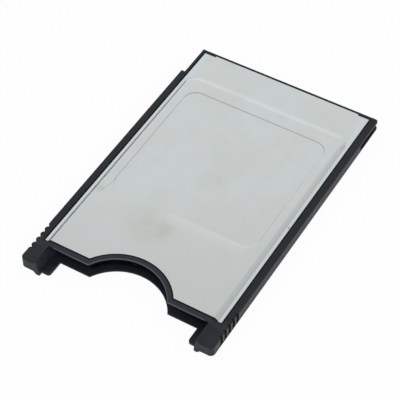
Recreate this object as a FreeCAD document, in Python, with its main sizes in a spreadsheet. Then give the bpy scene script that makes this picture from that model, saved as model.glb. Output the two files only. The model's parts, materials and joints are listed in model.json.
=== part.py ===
import FreeCAD, Part
import math
import operator
import os
from types import SimpleNamespace

import Sketcher

# Memory card adapter. The small card slides in at -Y between the two ears, and the
# 68-contact socket faces +Y. +Z is the labelled side. The origin lies under the middle,
# on the surface that the adapter rests on. All lengths are in millimetres.

SIZES = [
    ("card_length", 85.6, "whole length, standard PC card"),
    ("card_width", 54.0, "whole width"),
    ("card_thickness", 5.0, "thickness over the raised panels"),
    ("edge_thickness", 3.3, "thickness of the guide edges"),
    ("key_length", 10.0, "keys at the socket end, measured along the card"),
    ("key_depth", 1.0, "how deep each key is cut into the side"),
    ("key_slot_height", 1.6, "height of the right side's key slot"),
    ("key_slot_floor", 0.85, "plastic left under the right key slot"),
    ("far_corner_radius", 0.6, "rounded corner over the key slot"),
    ("rail_strip", 1.88, "solid rail outside the cover's edge"),
    ("ledge_width", 3.57, "ledge inside each rail, next to the card bay"),
    ("ear_length", 5.87, "how far the ears stand past the upper bar"),
    ("ear_corner_radius", 1.25, "rounded outer corner of each ear"),
    ("ear_set_upper", 0.95, "each ear stands outside the bay's side by this much at the top"),
    ("ear_set_lower", 0.2, "and by this much above the lips"),
    ("ear_edge_bevel", 0.2, "slanted near edge of each ear, top and bottom"),
    ("shoulder_inset", 0.58, "raised panel's foot to the foot of the ears' slope"),
    ("shoulder_run", 0.75, "width of the slope from edge to full thickness"),
    ("lip_reach", 2.05, "how far each lip reaches past the bay's side"),
    ("lip_thickness", 0.8, "thickness of each lip"),
    ("lip_setback", 1.2, "how far each lip ends behind the ear's face"),
    ("lip_round", 0.8, "rounded end of each lip"),
    ("bar_width", 1.74, "bar over the mouth, beside the notch"),
    ("bar_round_width", 1.5, "bar over the mouth, around the notch"),
    ("bar_thickness", 0.45, "bar over the mouth, top and bottom alike"),
    ("lower_bar_setback", 0.11, "the lower bar lies this much further back"),
    ("seat_width", 0.9, "step behind each bar that carries the cover's edge"),
    ("seat_inset", 0.15, "how far the seat ends inside the raised panel's flat part"),
    ("notch_radius", 12.55, "thumb notch through both bars, from the near end's middle"),
    ("grip_start", 11.75, "near end to the furthest finger groove"),
    ("grip_pitch", 1.88, "spacing of the finger grooves"),
    ("grip_count", 5, "finger grooves on each side"),
    ("grip_depth", 0.85, "depth of a finger groove"),
    ("grip_land", 0.25, "flat crest between two grooves"),
    ("grip_side_radius", 1.0, "rounded side of each rib"),
    ("grip_floor", 0.5, "plastic left under the finger grooves"),
    ("sheet", 0.2, "stainless sheet of the covers"),
    ("cover_side_gap", 0.22, "gap between a rail strip and the cover"),
    ("cover_flange", 0.8, "depth of the cover's side flanges, from the edge's top"),
    ("cover_gap", 0.05, "gap round the cover's near edge"),
    ("flange_gap", 0.06, "play inside and under a side flange"),
    ("cover_corner_width", 3.33, "width of the cut-back corners beside the cover's far tongue"),
    ("cover_far_gap", 0.75, "the tongue ends this far before the socket face"),
    ("cover_corner_gap", 1.16, "the corners end this far before the socket face"),
    ("panel_margin", 0.8, "flat margin beside the raised panel"),
    ("panel_side_run", 1.4, "width of the slope at the raised panel's sides"),
    ("panel_far_run", 2.6, "width of the slope at the raised panel's far end"),
    ("panel_reach", 0.4, "the panel's foot reaches past the start of the keys by this much"),
    ("panel_radius", 3.6, "raised panel's far corners at its foot"),
    ("bend", 0.2, "bend radius of the covers' edges"),
    ("label_inset", 3.45, "raised panel's foot to the label recess"),
    ("label_near", 29.75, "near end to the label recess"),
    ("label_length", 40.1, "label recess, along"),
    ("label_radius", 3.5, "label recess, corners"),
    ("label_depth", 0.18, "label recess, depth"),
    ("insert_length", 36.4, "length of the memory card that goes in"),
    ("insert_stop", 0.2, "gap between its end and the header"),
    ("guide_length", 11.0, "guide rib in the card bay"),
    ("guide_width", 0.6, "how far a guide rib stands into the bay"),
    ("guide_lead", 0.6, "slanted start of a guide rib"),
    ("guide_left_height", 1.1, "the left rib is the thicker one"),
    ("guide_right_height", 0.8, "the right rib is thinner, so a card goes in one way"),
    ("pin_pitch", 1.27, "spacing of the pins and contacts"),
    ("most_contacts", 34, "contacts in each row of the socket, as far as its width allows"),
    ("contact_wall", 1.9, "socket moulding beside its outermost contacts, at least"),
    ("row_pitch", 1.27, "spacing of the two rows"),
    ("pin_size", 0.45, "square header pin"),
    ("pin_gap", 0.01, "play of a pin in the header"),
    ("pin_tip", 0.4, "length of a pin's slanted tip"),
    ("pin_tip_height", 0.2, "height of a pin's end"),
    ("header_depth", 5.0, "header moulding, along the card"),
    ("header_height", 3.3, "header moulding"),
    ("header_play", 0.1, "play of the header in the frame"),
    ("tenon_reach", 2.35, "how far a tenon reaches past the bay's side"),
    ("tenon_length", 2.8, "tenon, along the card"),
    ("tenon_near", 1.3, "header's face to the tenon"),
    ("tenon_height", 2.35, "tenon"),
    ("power_pin_length", 5.0, "power pins in front of the header"),
    ("signal_pin_length", 4.25, "signal pins in front of the header"),
    ("detect_pin_length", 3.5, "detect pins in front of the header"),
    ("pin_tail", 2.4, "pin tails on the board"),
    ("board_thickness", 0.8, "circuit board"),
    ("board_reach", 1.85, "how far the circuit board lies on each ledge"),
    ("arm_gap", 0.15, "gap between the board and a socket arm"),
    ("board_play", 0.1, "gap round the circuit board"),
    ("shelf_end", 13.5, "the board's shelf ends this far before the socket face"),
    ("socket_depth", 9.6, "socket moulding, along the card"),
    ("socket_side_gap", 0.6, "rail strip to the socket moulding"),
    ("socket_lip_gap", 0.1, "rail strip to the socket's front lip"),
    ("socket_play", 0.05, "play of the socket in height and at its lugs"),
    ("arm_near_gap", 0.1, "gap between the arms and the shelf's end"),
    ("arm_width", 2.65, "each side arm, across"),
    ("lug_length", 1.6, "lug on each arm, along the card"),
    ("lug_reach", 1.2, "how far a lug stands out of its arm"),
    ("lug_height", 1.2, "lug"),
    ("lug_near", 1.0, "arm's end to the lug"),
    ("entry_size", 0.6, "contact entry in the socket's face"),
    ("entry_depth", 1.2, "front wall with the contact entries"),
    ("room_width", 0.7, "contact room behind the entry"),
    ("room_height", 0.9, "contact room"),
    ("contact_width", 0.35, "contact, across"),
    ("contact_height", 0.84, "contact over its two tines"),
    ("contact_sheet", 0.2, "contact tail"),
    ("contact_root", 0.4, "contact's root inside the room"),
    ("contact_base", 1.4, "solid part of the contact behind the tines"),
    ("tine_gap", 0.36, "gap between the tines at their tips"),
    ("contact_end_gap", 0.3, "gap between the tines and the front wall"),
    ("contact_tail", 2.3, "contact tails on the board"),
    ("tail_step", 0.5, "sloped part of a tail"),
    ("tab_width", 1.2, "solder tab"),
    ("tab_sheet", 0.2, "solder tab's thickness"),
    ("tab_foot", 1.9, "solder tab on the board"),
    ("tab_root", 1.2, "solder tab inside its moulding"),
    ("tab_rise", 0.7, "upright end of a solder tab"),
    ("tab_gap", 0.04, "play round a solder tab"),
    ("chip_length", 1.6, "chip capacitor and resistor"),
    ("chip_width", 0.8, "chip capacitor and resistor"),
    ("capacitor_height", 0.8, "chip capacitor"),
    ("resistor_height", 0.45, "chip resistor"),
    ("chip_place", 8.0, "middle to each capacitor"),
    ("chip_near", 9.0, "board's near edge to the chips"),
    ("film_thickness", 0.1, "insulating film"),
    ("film_inset", 1.0, "label recess to the film's side"),
    ("film_length", 20.0, "insulating film, along the card"),
    ("film_near", 2.0, "header to the film"),
]

doc = FreeCAD.newDocument("MemoryCardAdapter")
sheet = doc.addObject("Spreadsheet::Sheet", "Sizes")
for row, (alias, number, note) in enumerate(SIZES, 1):
    sheet.set(f"A{row}", note)
    sheet.set(f"B{row}", str(number))
    sheet.setAlias(f"B{row}", alias)
doc.recompute()


class Size:
    # A length as a number, together with the sheet expression that drives it.
    def __init__(self, value, text):
        self.value = value
        self.text = text

    def __add__(self, other):
        return combine(self, "+", other)

    def __radd__(self, other):
        return combine(other, "+", self)

    def __sub__(self, other):
        return combine(self, "-", other)

    def __rsub__(self, other):
        return combine(other, "-", self)

    def __mul__(self, other):
        return combine(self, "*", other)

    def __rmul__(self, other):
        return combine(other, "*", self)

    def __truediv__(self, other):
        return combine(self, "/", other)

    def __rtruediv__(self, other):
        return combine(other, "/", self)

    def __neg__(self):
        return Size(-self.value, f"(-{self.text})")


def as_size(item):
    if isinstance(item, Size):
        return item
    return Size(float(item), str(item))


def combine(left, sign, right):
    left = as_size(left)
    right = as_size(right)
    work = {"+": operator.add, "-": operator.sub, "*": operator.mul, "/": operator.truediv}
    return Size(work[sign](left.value, right.value), f"({left.text} {sign} {right.text})")


def root(size):
    return Size(math.sqrt(size.value), f"sqrt({size.text})")


s = SimpleNamespace(**{alias: Size(float(number), f"Sizes.{alias}") for alias, number, _ in SIZES})


def whole_number(size, most):
    value = min(math.floor(size.value), most.value)
    return Size(value, f"min(floor({size.text}); {most.text})")


class Bend:
    # A round stretch of an outline: its radius, and the way it turns when walked along.
    def __init__(self, radius, turn):
        self.radius = radius
        self.turn = turn


def bind(item, name, size):
    size = as_size(size)
    if "." not in name:
        setattr(item, name, size.value)
    item.setExpression(name, size.text)


def sketch_on(body, name, role, height):
    sketch = body.newObject("Sketcher::SketchObject", name)
    plane = next(part for part in body.Origin.OriginFeatures if part.Role == role)
    sketch.AttachmentSupport = (plane, [""])
    sketch.MapMode = "FlatFace"
    bind(sketch, "AttachmentOffset.Base.z", height)
    return sketch


def arc_between(start, end, bend):
    radius = bend.radius.value
    half = (end - start) * 0.5
    rise = math.sqrt(max(radius**2 - half.Length**2, 0.0))
    left = FreeCAD.Vector(-half.y, half.x, 0).normalize()
    side = 1 if bend.turn == "left" else -1
    centre = start + half + left * rise * side
    first, last = (start, end) if side > 0 else (end, start)
    angles = [math.atan2(point.y - centre.y, point.x - centre.x) for point in (first, last)]
    circle = Part.Circle(centre, FreeCAD.Vector(0, 0, 1), radius)
    return Part.ArcOfCircle(circle, angles[0], angles[1])


def pin_point(sketch, edge, point, place):
    for kind, axis, distance in (("DistanceX", -2, place[0]), ("DistanceY", -1, place[1])):
        distance = as_size(distance)
        if distance.text == "0":
            sketch.addConstraint(Sketcher.Constraint("PointOnObject", edge, point, axis))
            continue
        rule = Sketcher.Constraint(kind, -1, 1, edge, point, distance.value)
        index = sketch.addConstraint(rule)
        sketch.setExpression(f"Constraints[{index}]", distance.text)


def draw(sketch, loop):
    # A loop lists its corners in order, with a Bend between two corners for a round stretch.
    corners = [item for item in loop if isinstance(item, tuple)]
    bends = {}
    passed = -1
    for item in loop:
        if isinstance(item, tuple):
            passed += 1
        else:
            bends[passed] = item
    points = [FreeCAD.Vector(as_size(x).value, as_size(y).value, 0) for x, y in corners]
    edges = []
    for index, start in enumerate(points):
        end = points[(index + 1) % len(points)]
        bend = bends.get(index)
        if bend is None:
            edges.append((sketch.addGeometry(Part.LineSegment(start, end)), 1, 2))
        else:
            edge = sketch.addGeometry(arc_between(start, end, bend))
            edges.append((edge, 1, 2) if bend.turn == "left" else (edge, 2, 1))
    for index, (edge, first, last) in enumerate(edges):
        following, opening, _ = edges[(index + 1) % len(edges)]
        sketch.addConstraint(Sketcher.Constraint("Coincident", edge, last, following, opening))
        pin_point(sketch, edge, first, corners[index])
        if index in bends:
            radius = bends[index].radius
            place = sketch.addConstraint(Sketcher.Constraint("Radius", edge, radius.value))
            sketch.setExpression(f"Constraints[{place}]", radius.text)


def draw_circle(sketch, x, y, radius):
    centre = FreeCAD.Vector(as_size(x).value, as_size(y).value, 0)
    ring = sketch.addGeometry(Part.Circle(centre, FreeCAD.Vector(0, 0, 1), radius.value))
    pin_point(sketch, ring, 3, (x, y))
    place = sketch.addConstraint(Sketcher.Constraint("Radius", ring, radius.value))
    sketch.setExpression(f"Constraints[{place}]", radius.text)


def add(body, name, sketch, length):
    # Adds material from the sketch's plane along its normal.
    pad = body.newObject("PartDesign::Pad", name)
    pad.Profile = sketch
    bind(pad, "Length", length)
    return pad


def cut(body, name, sketch, length):
    # Takes material away from the sketch's plane along its normal.
    pocket = body.newObject("PartDesign::Pocket", name)
    pocket.Profile = sketch
    pocket.Reversed = True
    bind(pocket, "Length", length)
    return pocket


def upright(body, name, change, loops, bottom, top):
    # Outlines seen from above, between two heights.
    sketch = sketch_on(body, f"{name}_outline", "XY_Plane", bottom)
    for loop in loops:
        draw(sketch, loop)
    return change(body, name, sketch, top - bottom)


def lengthwise(body, name, change, loops, near, far):
    # Outlines in X and Z, between two places along the card.
    sketch = sketch_on(body, f"{name}_outline", "XZ_Plane", -far)
    for loop in loops:
        draw(sketch, loop)
    return change(body, name, sketch, far - near)


def crosswise(body, name, change, loops, left, right):
    # Outlines in Y and Z, between two places across the card.
    sketch = sketch_on(body, f"{name}_outline", "YZ_Plane", left)
    for loop in loops:
        draw(sketch, loop)
    return change(body, name, sketch, right - left)


def ramp(body, name, kind, low_loop, high_loop, low, high):
    # A form seen from above whose outline changes evenly between two heights.
    sketches = []
    for end, level, loop in (("foot", low, low_loop), ("top", high, high_loop)):
        sketches.append(sketch_on(body, f"{name}_{end}", "XY_Plane", level))
        draw(sketches[-1], loop)
    form = body.newObject(f"PartDesign::{kind}Loft", name)
    form.Profile = sketches[0]
    form.Sections = [sketches[1]]
    form.Ruled = True
    return form


def repeat(body, name, originals, axis, spacing, count, backwards=False):
    pattern = body.newObject("PartDesign::LinearPattern", name)
    pattern.Originals = originals
    pattern.Direction = (originals[0].Profile[0], [axis])
    pattern.Mode = "Spacing"
    pattern.Reversed = backwards
    bind(pattern, "Offset", spacing)
    pattern.Occurrences = int(count.value)
    pattern.setExpression("Occurrences", count.text)
    body.Tip = pattern
    return pattern


def rectangle(left, right, near, far):
    return [(left, near), (right, near), (right, far), (left, far)]


def mirrored(loop):
    # The same outline on the other side of the card's middle, walked the other way round.
    other = {"left": "right", "right": "left"}
    turned = []
    for item in reversed(loop):
        if isinstance(item, tuple):
            turned.append((-as_size(item[0]), item[1]))
        else:
            turned.append(Bend(item.radius, item.turn))
    return turned


def new_body(label):
    body = doc.addObject("PartDesign::Body", label)
    body.Label = label
    return body


def soften(body, name, wanted, radius):
    # Rounds the edges of the body's last feature that the test picks.
    doc.recompute()
    base = body.Tip
    picked = [f"Edge{i}" for i, edge in enumerate(base.Shape.Edges, 1) if wanted(edge)]
    fillet = body.newObject("PartDesign::Fillet", name)
    fillet.Base = (base, picked)
    bind(fillet, "Radius", radius)
    return fillet


def bevel(body, name, wanted, size):
    # Slants the edges of the body's last feature that the test picks.
    doc.recompute()
    base = body.Tip
    picked = [f"Edge{i}" for i, edge in enumerate(base.Shape.Edges, 1) if wanted(edge)]
    chamfer = body.newObject("PartDesign::Chamfer", name)
    chamfer.Base = (base, picked)
    bind(chamfer, "Size", size)
    return chamfer


def near_to(value, size):
    return abs(value - as_size(size).value) < 0.001


# Places that several pieces share
near_end = -s.card_length / 2
far_end = s.card_length / 2
side = s.card_width / 2
middle = s.card_thickness / 2
edge_bottom = (s.card_thickness - s.edge_thickness) / 2
edge_top = edge_bottom + s.edge_thickness
rail_inner = side - s.rail_strip
bay_half = rail_inner - s.ledge_width
upper_bar_near = near_end + s.ear_length
lower_bar_near = upper_bar_near + s.lower_bar_setback
bar_far = upper_bar_near + s.bar_width
seat_far = bar_far + s.seat_width
key_start = far_end - s.key_length
cover_half = rail_inner - s.cover_side_gap
panel_half = cover_half - s.panel_margin
label_half = panel_half - s.label_inset
tongue_half = cover_half - s.cover_corner_width
header_half = bay_half - s.header_play
tenon_half = bay_half + s.tenon_reach
board_half = bay_half + s.board_reach
socket_half = rail_inner - s.socket_side_gap
arm_inner = socket_half - s.arm_width
contact_room_width = 2 * (socket_half - s.contact_wall)
contact_count = whole_number(contact_room_width / s.pin_pitch + 1, s.most_contacts)
header_near = upper_bar_near + s.insert_length + s.insert_stop
header_far = header_near + s.header_depth
board_near = header_far + s.board_play
board_far = far_end - s.socket_depth - s.board_play
shelf_far = far_end - s.shelf_end
board_bottom = middle - s.board_thickness / 2
board_top = middle + s.board_thickness / 2
socket_near = far_end - s.socket_depth
arm_near = shelf_far + s.arm_near_gap
lug_start = arm_near + s.lug_near
socket_bottom = edge_bottom + s.sheet + s.socket_play
socket_top = edge_top - s.sheet - s.socket_play


def plate(half, far, radius):
    # A plate behind the ears that bulges round the thumb notch.
    reach = root(radius * radius - (far - near_end) * (far - near_end))
    crown = near_end + radius
    return [
        (-half, near_end),
        (half, near_end),
        (half, far),
        (reach, far),
        Bend(radius, "left"),
        (0, crown),
        Bend(radius, "left"),
        (-reach, far),
        (-half, far),
    ]


def make_frame():
    body = new_body("frame")
    corner = s.ear_corner_radius
    far_corner = s.far_corner_radius
    outline = [
        (-side + corner, near_end),
        (side - corner, near_end),
        Bend(corner, "left"),
        (side, near_end + corner),
        (side, far_end - far_corner),
        Bend(far_corner, "left"),
        (side - far_corner, far_end),
        (-side + s.key_depth, far_end),
        (-side + s.key_depth, key_start),
        (-side, key_start),
        (-side, near_end + corner),
        Bend(corner, "left"),
    ]
    upright(body, "edge_slab", add, [outline], edge_bottom, edge_top)

    # Full-thickness bars and ears, and the seats behind the bars that carry the covers
    shoulder = panel_half - s.shoulder_inset
    seat_half = panel_half - s.panel_side_run - s.seat_inset
    round_far = s.notch_radius + s.bar_round_width
    seat_top = s.card_thickness - s.sheet
    bars = plate(shoulder, bar_far, round_far)
    seats = plate(seat_half, seat_far, round_far + s.seat_width)
    upright(body, "upper_plate", add, [bars], edge_top, s.card_thickness)
    upright(body, "upper_seat", add, [seats], edge_top, seat_top)
    upright(body, "lower_plate", add, [bars], Size(0.0, "0"), edge_bottom)
    upright(body, "lower_seat", add, [seats], s.sheet, edge_bottom)

    # Slopes between the guide edges and the full thickness
    step = shoulder - s.shoulder_run
    slopes = []
    for flat, outer in ((edge_top, s.card_thickness), (edge_bottom, 0)):
        slope = [(shoulder, flat), (shoulder, outer), (step, outer)]
        slopes += [slope, mirrored(slope)]
    lengthwise(body, "shoulder_slopes", cut, slopes, near_end, bar_far)

    # Card bay and mouth
    bay_floor = s.bar_thickness
    bay_roof = s.card_thickness - s.bar_thickness
    upright(body, "card_bay", cut, [rectangle(-bay_half, bay_half, seat_far, shelf_far)],
            bay_floor, bay_roof)
    wide = bay_half + s.ear_set_upper
    narrow = bay_half + s.ear_set_lower
    lean = (wide - narrow) / (s.card_thickness - s.lip_thickness)

    def wall(height):
        return narrow + lean * (height - s.lip_thickness)

    def gap(low, high):
        return [(-wall(low), low), (wall(low), low), (wall(high), high), (-wall(high), high)]

    lengthwise(body, "mouth", cut, [gap(bay_floor, bay_roof)], lower_bar_near, seat_far)
    lengthwise(body, "mouth_front", cut, [gap(s.lip_thickness, bay_roof)], upper_bar_near,
               lower_bar_near)
    lengthwise(body, "ear_gap", cut, [gap(s.lip_thickness, s.card_thickness)], near_end,
               upper_bar_near)
    lip = bay_half - s.lip_reach
    lip_near = near_end + s.lip_setback
    lip_side = [
        (narrow, near_end),
        (narrow, lip_near),
        (lip + s.lip_round, lip_near),
        Bend(s.lip_round, "right"),
        (lip, lip_near + s.lip_round),
        (lip, lower_bar_near),
    ]
    upright(body, "lip_gap", cut, [mirrored(lip_side) + lip_side], Size(0.0, "0"),
            s.lip_thickness)
    sketch = sketch_on(body, "thumb_notch_outline", "XY_Plane", Size(0.0, "0"))
    draw_circle(sketch, 0, near_end, s.notch_radius)
    cut(body, "thumb_notch", sketch, s.card_thickness)

    # Room for the socket between the rails' ends
    upright(body, "socket_room", cut, [rectangle(-rail_inner, rail_inner, shelf_far, far_end)],
            edge_bottom, edge_top)

    # Rebates and flange grooves for the two covers
    groove_inner = cover_half - s.sheet - s.flange_gap
    groove_depth = s.cover_flange + s.flange_gap
    rebate_inner = rectangle(-rail_inner, rail_inner, bar_far, shelf_far)
    grooves = [rectangle(groove_inner, rail_inner, bar_far, shelf_far)]
    grooves.append(mirrored(grooves[0]))
    upright(body, "upper_rebate", cut, [rebate_inner], edge_top - s.sheet, edge_top)
    upright(body, "lower_rebate", cut, [rebate_inner], edge_bottom, edge_bottom + s.sheet)
    upright(body, "upper_grooves", cut, grooves, edge_top - groove_depth, edge_top)
    upright(body, "lower_grooves", cut, grooves, edge_bottom, edge_bottom + groove_depth)

    # Seats of the header's tenons and of the circuit board, both open upwards
    seat_side = tenon_half + s.header_play
    tenon_start = header_near + s.tenon_near - s.header_play
    tenon_end = header_near + s.tenon_near + s.tenon_length + s.header_play
    upright(body, "tenon_seats", cut, [rectangle(-seat_side, seat_side, tenon_start, tenon_end)],
            edge_top - s.sheet - s.tenon_height - s.header_play, edge_top)
    shelf_half = board_half + s.board_play
    upright(body, "board_shelf", cut, [rectangle(-shelf_half, shelf_half, header_far, shelf_far)],
            board_bottom, edge_top)

    # Pockets in the rails for the socket's lugs
    lug_out = socket_half + s.lug_reach + s.socket_play
    lug_room = rectangle(rail_inner, lug_out, lug_start - s.socket_play,
                         lug_start + s.lug_length + s.socket_play)
    upright(body, "lug_pockets", cut, [lug_room, mirrored(lug_room)],
            middle - s.lug_height / 2 - s.socket_play, middle + s.lug_height / 2 + s.socket_play)

    # Guide ribs for the card's side grooves
    for name, height, turn in (("left_guide", s.guide_left_height, mirrored),
                               ("right_guide", s.guide_right_height, list)):
        rib_far = header_near - s.insert_stop
        rib_near = rib_far - s.guide_length
        rib = [
            (bay_half + s.guide_width, rib_near - s.guide_lead),
            (bay_half + s.guide_width, rib_far),
            (bay_half - s.guide_width, rib_far),
            (bay_half - s.guide_width, rib_near),
            (bay_half, rib_near - s.guide_lead),
        ]
        upright(body, name, add, [turn(rib)], middle - height / 2, middle + height / 2)

    # Key slot in the right side, open to the side and to the far end
    slot_floor = edge_bottom + s.key_slot_floor
    upright(body, "key_slot", cut, [rectangle(side - s.key_depth, side, key_start, far_end)],
            slot_floor, slot_floor + s.key_slot_height)

    # Finger grooves between rounded ribs
    mouth_half = (s.grip_pitch - s.grip_land) / 2
    first = near_end + s.grip_start
    groove = [
        (side, first + mouth_half),
        Bend(s.grip_side_radius, "right"),
        (side - s.grip_depth, first),
        Bend(s.grip_side_radius, "right"),
        (side, first - mouth_half),
    ]
    grip = upright(body, "grip_groove", cut, [groove, mirrored(groove)],
                   edge_bottom + s.grip_floor, edge_top)
    repeat(body, "grips", [grip], "V_Axis", s.grip_pitch, s.grip_count, backwards=True)

    def ear_front_edge(edge):
        box = edge.BoundBox
        level = box.ZMin > edge_top.value - 0.01 or box.ZMax < edge_bottom.value + 0.01
        return near_to(box.YMin, near_end) and near_to(box.YMax, near_end) and level

    bevel(body, "ear_bevels", ear_front_edge, s.ear_edge_bevel)
    return body


def make_cover(label, recess):
    # Built as the upper cover; the lower one is the same sheet turned over.
    body = new_body(label)
    near = bar_far + s.cover_gap
    corner_far = far_end - s.cover_corner_gap
    tongue_far = far_end - s.cover_far_gap
    outline = [
        (-cover_half, near),
        (cover_half, near),
        (cover_half, corner_far),
        (tongue_half, corner_far),
        (tongue_half, tongue_far),
        (-tongue_half, tongue_far),
        (-tongue_half, corner_far),
        (-cover_half, corner_far),
    ]
    flange_bottom = edge_top - s.cover_flange
    upright(body, f"{label}_margin", add, [outline], flange_bottom, edge_top)
    soften(body, f"{label}_side_bends", lambda edge: long_top_edge(edge, cover_half), s.bend)

    rise = s.card_thickness - edge_top
    over = s.panel_radius

    def panel(half, far, radius):
        return [
            (-half, near - over),
            (half, near - over),
            (half, far - radius),
            Bend(radius, "left"),
            (half - radius, far),
            (-half + radius, far),
            Bend(radius, "left"),
            (-half, far - radius),
        ]

    def slope(inset_side, inset_far):
        half = panel_half - inset_side
        far = key_start + s.panel_reach - inset_far
        radius = s.panel_radius - inset_side
        return (panel(half, far, radius),
                panel(half - s.panel_side_run, far - s.panel_far_run, radius - s.panel_side_run))

    ramp(body, f"{label}_panel", "Additive", *slope(Size(0.0, "0"), Size(0.0, "0")), edge_top,
         s.card_thickness)

    # The hollow underneath leaves one thickness of sheet everywhere
    inner = cover_half - s.sheet
    hollow = rectangle(-inner, inner, near - over, far_end)
    upright(body, f"{label}_hollow", cut, [hollow], flange_bottom, edge_top - s.sheet)

    def shrink(run):
        return s.sheet * (root(run * run + rise * rise) - run) / rise

    ramp(body, f"{label}_panel_hollow", "Subtractive",
         *slope(shrink(s.panel_side_run), shrink(s.panel_far_run)), edge_top - s.sheet,
         s.card_thickness - s.sheet)
    upright(body, f"{label}_near_trim", cut,
            [rectangle(-side, side, near - over - s.bend, near)], flange_bottom, s.card_thickness)

    if recess:
        label_near = near_end + s.label_near
        label_far = label_near + s.label_length
        radius = s.label_radius
        window = [
            (-label_half + radius, label_near),
            (label_half - radius, label_near),
            Bend(radius, "left"),
            (label_half, label_near + radius),
            (label_half, label_far - radius),
            Bend(radius, "left"),
            (label_half - radius, label_far),
            (-label_half + radius, label_far),
            Bend(radius, "left"),
            (-label_half, label_far - radius),
            (-label_half, label_near + radius),
            Bend(radius, "left"),
        ]
        under_face = s.card_thickness - s.sheet
        upright(body, f"{label}_recess_back", add, [window], under_face - s.label_depth, under_face)
        upright(body, f"{label}_recess", cut, [window], s.card_thickness - s.label_depth,
                s.card_thickness)

    sketch = sketch_on(body, f"{label}_notch_outline", "XY_Plane", flange_bottom)
    draw_circle(sketch, 0, near_end, s.notch_radius + s.bar_round_width + s.cover_gap)
    cut(body, f"{label}_notch", sketch, s.card_thickness - flange_bottom)
    return body


def long_top_edge(edge, half):
    box = edge.BoundBox
    return (near_to(box.ZMin, edge_top) and near_to(box.ZMax, edge_top)
            and near_to(abs(box.XMin), half) and near_to(box.XMin, Size(box.XMax, "")))


def make_lower_cover():
    body = make_cover("bottom_cover", recess=False)
    body.Placement = FreeCAD.Placement(FreeCAD.Vector(0, 0, s.card_thickness.value),
                                       FreeCAD.Rotation(FreeCAD.Vector(0, 1, 0), 180))
    body.setExpression("Placement.Base.z", s.card_thickness.text)
    return body


def make_board():
    body = new_body("circuit_board")
    tongue = arm_inner - s.arm_gap
    shoulder = shelf_far - s.board_play
    outline = [
        (-board_half, board_near),
        (board_half, board_near),
        (board_half, shoulder),
        (tongue, shoulder),
        (tongue, board_far),
        (-tongue, board_far),
        (-tongue, shoulder),
        (-board_half, shoulder),
    ]
    upright(body, "board_blank", add, [outline], board_bottom, board_top)
    return body


def row_start(count):
    return -(count - 1) / 2 * s.pin_pitch


def header_tab_place():
    # Half way between the outermost pin and the header's end
    return (header_half + 12 * s.pin_pitch + s.pin_size / 2) / 2


def pin_square(column, row, grow):
    # Square of one pin in X and Z. Columns count from the left, and row is 1 above or -1 below.
    x = row_start(25) + column * s.pin_pitch
    z = middle + row * s.row_pitch / 2
    half = s.pin_size / 2 + grow
    return [(x - half, z - half), (x + half, z - half), (x + half, z + half), (x - half, z + half)]


def tab_profile(moulding_edge, away, floor):
    # Solder tab in Y and Z: a foot on the board and an upright end in its moulding.
    foot = moulding_edge + away * s.tab_foot
    back = moulding_edge - away * s.tab_root
    return [
        (foot, floor),
        (foot, floor + s.tab_sheet),
        (back + away * s.tab_sheet, floor + s.tab_sheet),
        (back + away * s.tab_sheet, floor + s.tab_rise),
        (back, floor + s.tab_rise),
        (back, floor),
    ]


def tab_room(moulding_edge, away):
    back = moulding_edge - away * (s.tab_root + s.tab_gap)
    low = board_top - s.tab_gap
    high = board_top + s.tab_rise + s.tab_gap
    return rectangle(back, moulding_edge, low, high)


def make_header():
    body = new_body("header_body")
    bottom = middle - s.header_height / 2
    top = middle + s.header_height / 2
    block = rectangle(-header_half, header_half, header_near, header_far)
    upright(body, "header_block", add, [block], bottom, top)
    tenon = rectangle(-tenon_half, tenon_half, header_near + s.tenon_near,
                      header_near + s.tenon_near + s.tenon_length)
    tenon_top = edge_top - s.sheet
    upright(body, "header_tenons", add, [tenon], tenon_top - s.tenon_height, tenon_top)
    holes = [pin_square(0, row, s.pin_gap) for row in (1, -1)]
    first = lengthwise(body, "pin_hole", cut, holes, header_near, header_far)
    repeat(body, "pin_holes", [first], "H_Axis", s.pin_pitch, Size(25.0, "25"))
    for name, place in (("left", -header_tab_place()), ("right", header_tab_place())):
        crosswise(body, f"{name}_tab_slot", cut, [tab_room(header_far, 1)],
                  place - s.tab_width / 2 - s.tab_gap, place + s.tab_width / 2 + s.tab_gap)
    body.Tip = body.Group[-1]
    return body


def pin_profile(length, row):
    # One header pin in Y and Z, with a slanted tip in the bay and its tail on the board.
    tip = header_near - length
    tail = header_far + s.pin_tail
    centre = middle + row * s.row_pitch / 2
    thick = s.pin_size / 2
    thin = s.pin_tip_height / 2
    return [
        (tip, centre - thin),
        (tip + s.pin_tip, centre - thick),
        (tail, centre - thick),
        (tail, centre + thick),
        (tip + s.pin_tip, centre + thick),
        (tip, centre + thin),
    ]


def pins(label, length, places, run=1):
    # Pins at the given columns and rows, each repeated to its right.
    body = new_body(label)
    starts = []
    for column, row in places:
        left = row_start(25) + column * s.pin_pitch - s.pin_size / 2
        starts.append(crosswise(body, f"{label}_{column}_{'upper' if row > 0 else 'lower'}", add,
                                [pin_profile(length, row)], left, left + s.pin_size))
        if run > 1:
            pattern = body.newObject("PartDesign::LinearPattern", f"{label}_run_{column}")
            pattern.Originals = [starts[-1]]
            pattern.Direction = (axis_of(body, "X_Axis"), [""])
            pattern.Mode = "Spacing"
            bind(pattern, "Offset", s.pin_pitch)
            pattern.Occurrences = run
            body.Tip = pattern
    return body


def axis_of(body, role):
    return next(part for part in body.Origin.OriginFeatures if part.Role == role)


def make_tab(label, place, moulding_edge, away):
    body = new_body(label)
    crosswise(body, f"{label}_strip", add, [tab_profile(moulding_edge, away, board_top)],
              place - s.tab_width / 2, place + s.tab_width / 2)
    return body


def socket_square(row, size, height):
    x = row_start(contact_count)
    z = middle + row * s.row_pitch / 2
    return rectangle(x - size / 2, x + size / 2, z - height / 2, z + height / 2)


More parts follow.
